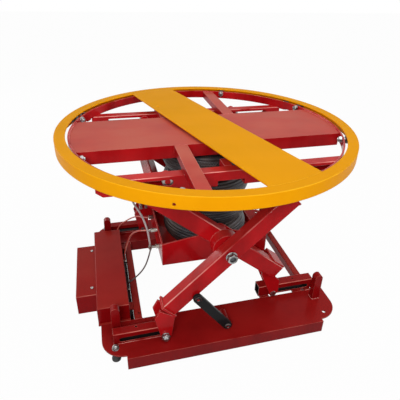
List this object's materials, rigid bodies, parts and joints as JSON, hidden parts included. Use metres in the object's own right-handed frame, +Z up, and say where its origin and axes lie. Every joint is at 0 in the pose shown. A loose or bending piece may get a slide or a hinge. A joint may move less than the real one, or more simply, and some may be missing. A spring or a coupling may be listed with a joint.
{
  "type": "rotating scissor lift table",
  "caption": "Air-sprung scissor lift table with a freely turning deck ring: red box-tube legs, rubber bellows in a cradle, floor channels, roller tracks and air gear.",
  "frame": {"origin": "on the floor, under the centre of the deck ring and of both centring links", "axes": "+X to the right, towards the feet of the inner legs; +Y to the rear; +Z up along the ring's axis"},
  "size_m": [1.11, 1.11, 0.74],
  "materials": {
    "red_paint": "gloss enamel",
    "dark_red_paint": "satin enamel",
    "yellow_paint": "satin powder coat",
    "black_steel": "satin black",
    "zinc_steel": "zinc plated",
    "bare_steel": "machined",
    "brass_fitting": "plated brass",
    "bellows_rubber": "moulded with cord",
    "foot_rubber": "matt",
    "roller_plastic": "matt",
    "grey_hose": "smooth tube",
    "dark_hose": "smooth tube",
    "red_hose": "smooth tube",
    "valve_aluminium": "cast"
  },
  "bodies": {
    "base": {"front_floor_channel": "red_paint", "rear_floor_channel": "red_paint", "tie_beams": "dark_red_paint", "outer_leg_tracks": "red_paint", "inner_leg_tracks": "red_paint", "stop_posts": "red_paint", "levelling_bolts": "zinc_steel", "rubber_feet": "foot_rubber", "air_cover": "dark_red_paint", "valve_block": "valve_aluminium", "control_box": "dark_red_paint", "control_box_screws": "zinc_steel", "air_fittings": "brass_fitting", "feed_hose": "dark_hose", "return_hose": "red_hose", "valve_hose": "red_hose"},
    "lower_links": {"lower_links": "black_steel"},
    "outer_legs": {"front_outer_leg": "red_paint", "rear_outer_leg": "red_paint", "outer_foot_brackets": "red_paint", "outer_foot_axles": "zinc_steel", "outer_top_brackets": "red_paint"},
    "inner_legs": {"front_inner_leg": "red_paint", "rear_inner_leg": "red_paint", "inner_cross_tube": "red_paint", "inner_foot_brackets": "red_paint", "inner_foot_axles": "zinc_steel", "inner_top_brackets": "red_paint"},
    "outer_foot_rollers": {"outer_foot_rollers": "bare_steel"},
    "inner_foot_rollers": {"inner_foot_rollers": "bare_steel"},
    "outer_head_rollers": {"outer_head_rollers": "bare_steel"},
    "inner_head_rollers": {"inner_head_rollers": "bare_steel"},
    "upper_links": {"upper_links": "black_steel"},
    "cradle": {"bag_cradle": "red_paint", "pivot_pins": "zinc_steel", "pivot_nuts": "zinc_steel", "fitting_plate": "red_paint", "cradle_fittings": "brass_fitting", "loop_hose": "grey_hose"},
    "top_frame": {"top_plate": "red_paint", "front_top_rail": "red_paint", "rear_top_rail": "red_paint", "cross_bars": "red_paint", "ring_band": "red_paint", "ring_axles": "zinc_steel", "guide_brackets": "red_paint", "air_bag": "bellows_rubber"},
    "turntable": {"turntable_ring": "yellow_paint", "deck_strap": "yellow_paint"},
    "ring_roller_1": {"ring_roller_1": "roller_plastic"},
    "ring_roller_2": {"ring_roller_2": "roller_plastic"},
    "ring_roller_3": {"ring_roller_3": "roller_plastic"},
    "ring_roller_4": {"ring_roller_4": "roller_plastic"},
    "ring_roller_5": {"ring_roller_5": "roller_plastic"},
    "ring_roller_6": {"ring_roller_6": "roller_plastic"},
    "ring_roller_7": {"ring_roller_7": "roller_plastic"},
    "ring_roller_8": {"ring_roller_8": "roller_plastic"},
    "guide_roller_1": {"guide_roller_1": "zinc_steel"},
    "guide_roller_2": {"guide_roller_2": "zinc_steel"},
    "guide_roller_3": {"guide_roller_3": "zinc_steel"}
  },
  "joints": [
    {"name": "lift", "type": "hinge", "parent": "base", "child": "lower_links", "pos_m": [0, 0, 0.072], "axis": [0, -1, 0], "range_deg": [0, 43.2], "stiffness_Nm_per_rad": 450, "springref_deg": -114.59, "deforming": ["air_bag", "feed_hose", "return_hose", "valve_hose", "loop_hose"]},
    {"name": "outer_leg_pin", "type": "hinge", "parent": "lower_links", "child": "outer_legs", "pos_m": [-0.11875, 0, 0.232], "axis": [0, 1, 0], "range_deg": [0, 86.4]},
    {"name": "scissor_pivot", "type": "hinge", "parent": "outer_legs", "child": "inner_legs", "pos_m": [0, 0, 0.392], "axis": [0, -1, 0], "range_deg": [0, 86.4]},
    {"name": "upper_link_pin", "type": "hinge", "parent": "inner_legs", "child": "upper_links", "pos_m": [-0.10355, 0, 0.5345], "axis": [0, 1, 0], "range_deg": [0, 86.4]},
    {"name": "top_frame_pin", "type": "hinge", "parent": "upper_links", "child": "top_frame", "pos_m": [0, 0, 0.677], "axis": [0, -1, 0], "range_deg": [0, 43.2]},
    {"name": "cradle_pivot", "type": "hinge", "parent": "outer_legs", "child": "cradle", "pos_m": [0, 0, 0.392], "axis": [0, -1, 0], "range_deg": [0, 43.2]},
    {"name": "ring_turn", "type": "hinge", "parent": "top_frame", "child": "turntable", "pos_m": [0, 0, 0.74], "axis": [0, 0, 1], "continuous": true},
    {"name": "outer_foot_roller_spin", "type": "hinge", "parent": "outer_legs", "child": "outer_foot_rollers", "pos_m": [-0.2375, 0, 0.072], "axis": [0, 1, 0], "continuous": true},
    {"name": "inner_foot_roller_spin", "type": "hinge", "parent": "inner_legs", "child": "inner_foot_rollers", "pos_m": [0.2375, 0, 0.072], "axis": [0, 1, 0], "continuous": true},
    {"name": "outer_head_roller_spin", "type": "hinge", "parent": "outer_legs", "child": "outer_head_rollers", "pos_m": [0.2071, 0, 0.677], "axis": [0, 1, 0], "continuous": true},
    {"name": "inner_head_roller_spin", "type": "hinge", "parent": "inner_legs", "child": "inner_head_rollers", "pos_m": [-0.2071, 0, 0.677], "axis": [0, 1, 0], "continuous": true},
    {"name": "ring_roller_1_spin", "type": "hinge", "parent": "top_frame", "child": "ring_roller_1", "pos_m": [0.48827, 0.20225, 0.7207], "axis": [0.9239, 0.3827, 0], "continuous": true},
    {"name": "ring_roller_2_spin", "type": "hinge", "parent": "top_frame", "child": "ring_roller_2", "pos_m": [0.20225, 0.48827, 0.7207], "axis": [0.3827, 0.9239, 0], "continuous": true},
    {"name": "ring_roller_3_spin", "type": "hinge", "parent": "top_frame", "child": "ring_roller_3", "pos_m": [-0.20225, 0.48827, 0.7207], "axis": [-0.3827, 0.9239, 0], "continuous": true},
    {"name": "ring_roller_4_spin", "type": "hinge", "parent": "top_frame", "child": "ring_roller_4", "pos_m": [-0.48827, 0.20225, 0.7207], "axis": [-0.9239, 0.3827, 0], "continuous": true},
    {"name": "ring_roller_5_spin", "type": "hinge", "parent": "top_frame", "child": "ring_roller_5", "pos_m": [-0.48827, -0.20225, 0.7207], "axis": [-0.9239, -0.3827, 0], "continuous": true},
    {"name": "ring_roller_6_spin", "type": "hinge", "parent": "top_frame", "child": "ring_roller_6", "pos_m": [-0.20225, -0.48827, 0.7207], "axis": [-0.3827, -0.9239, 0], "continuous": true},
    {"name": "ring_roller_7_spin", "type": "hinge", "parent": "top_frame", "child": "ring_roller_7", "pos_m": [0.20225, -0.48827, 0.7207], "axis": [0.3827, -0.9239, 0], "continuous": true},
    {"name": "ring_roller_8_spin", "type": "hinge", "parent": "top_frame", "child": "ring_roller_8", "pos_m": [0.48827, -0.20225, 0.7207], "axis": [0.9239, -0.3827, 0], "continuous": true},
    {"name": "guide_roller_1_spin", "type": "hinge", "parent": "top_frame", "child": "guide_roller_1", "pos_m": [0.45702, 0.28006, 0.715], "axis": [0, 0, 1], "continuous": true},
    {"name": "guide_roller_2_spin", "type": "hinge", "parent": "top_frame", "child": "guide_roller_2", "pos_m": [-0.46419, 0.268, 0.715], "axis": [0, 0, 1], "continuous": true},
    {"name": "guide_roller_3_spin", "type": "hinge", "parent": "top_frame", "child": "guide_roller_3", "pos_m": [0, -0.536, 0.715], "axis": [0, 0, 1], "continuous": true}
  ],
  "couplings": [
    {"joint": "outer_leg_pin", "follows": "lift", "ratio": 2},
    {"joint": "scissor_pivot", "follows": "lift", "ratio": 2},
    {"joint": "upper_link_pin", "follows": "lift", "ratio": 2},
    {"joint": "top_frame_pin", "follows": "lift", "ratio": 1},
    {"joint": "cradle_pivot", "follows": "lift", "ratio": 1},
    {"joint": "outer_foot_roller_spin", "follows": "lift", "ratio": -15.976},
    {"joint": "inner_foot_roller_spin", "follows": "lift", "ratio": 15.976},
    {"joint": "outer_head_roller_spin", "follows": "lift", "ratio": -11.408},
    {"joint": "inner_head_roller_spin", "follows": "lift", "ratio": 11.408},
    {"joint": "ring_roller_1_spin", "follows": "ring_turn", "ratio": -37.75},
    {"joint": "ring_roller_2_spin", "follows": "ring_turn", "ratio": -37.75},
    {"joint": "ring_roller_3_spin", "follows": "ring_turn", "ratio": -37.75},
    {"joint": "ring_roller_4_spin", "follows": "ring_turn", "ratio": -37.75},
    {"joint": "ring_roller_5_spin", "follows": "ring_turn", "ratio": -37.75},
    {"joint": "ring_roller_6_spin", "follows": "ring_turn", "ratio": -37.75},
    {"joint": "ring_roller_7_spin", "follows": "ring_turn", "ratio": -37.75},
    {"joint": "ring_roller_8_spin", "follows": "ring_turn", "ratio": -37.75},
    {"joint": "guide_roller_1_spin", "follows": "ring_turn", "ratio": 40.146},
    {"joint": "guide_roller_2_spin", "follows": "ring_turn", "ratio": 40.146},
    {"joint": "guide_roller_3_spin", "follows": "ring_turn", "ratio": 40.146}
  ]
}
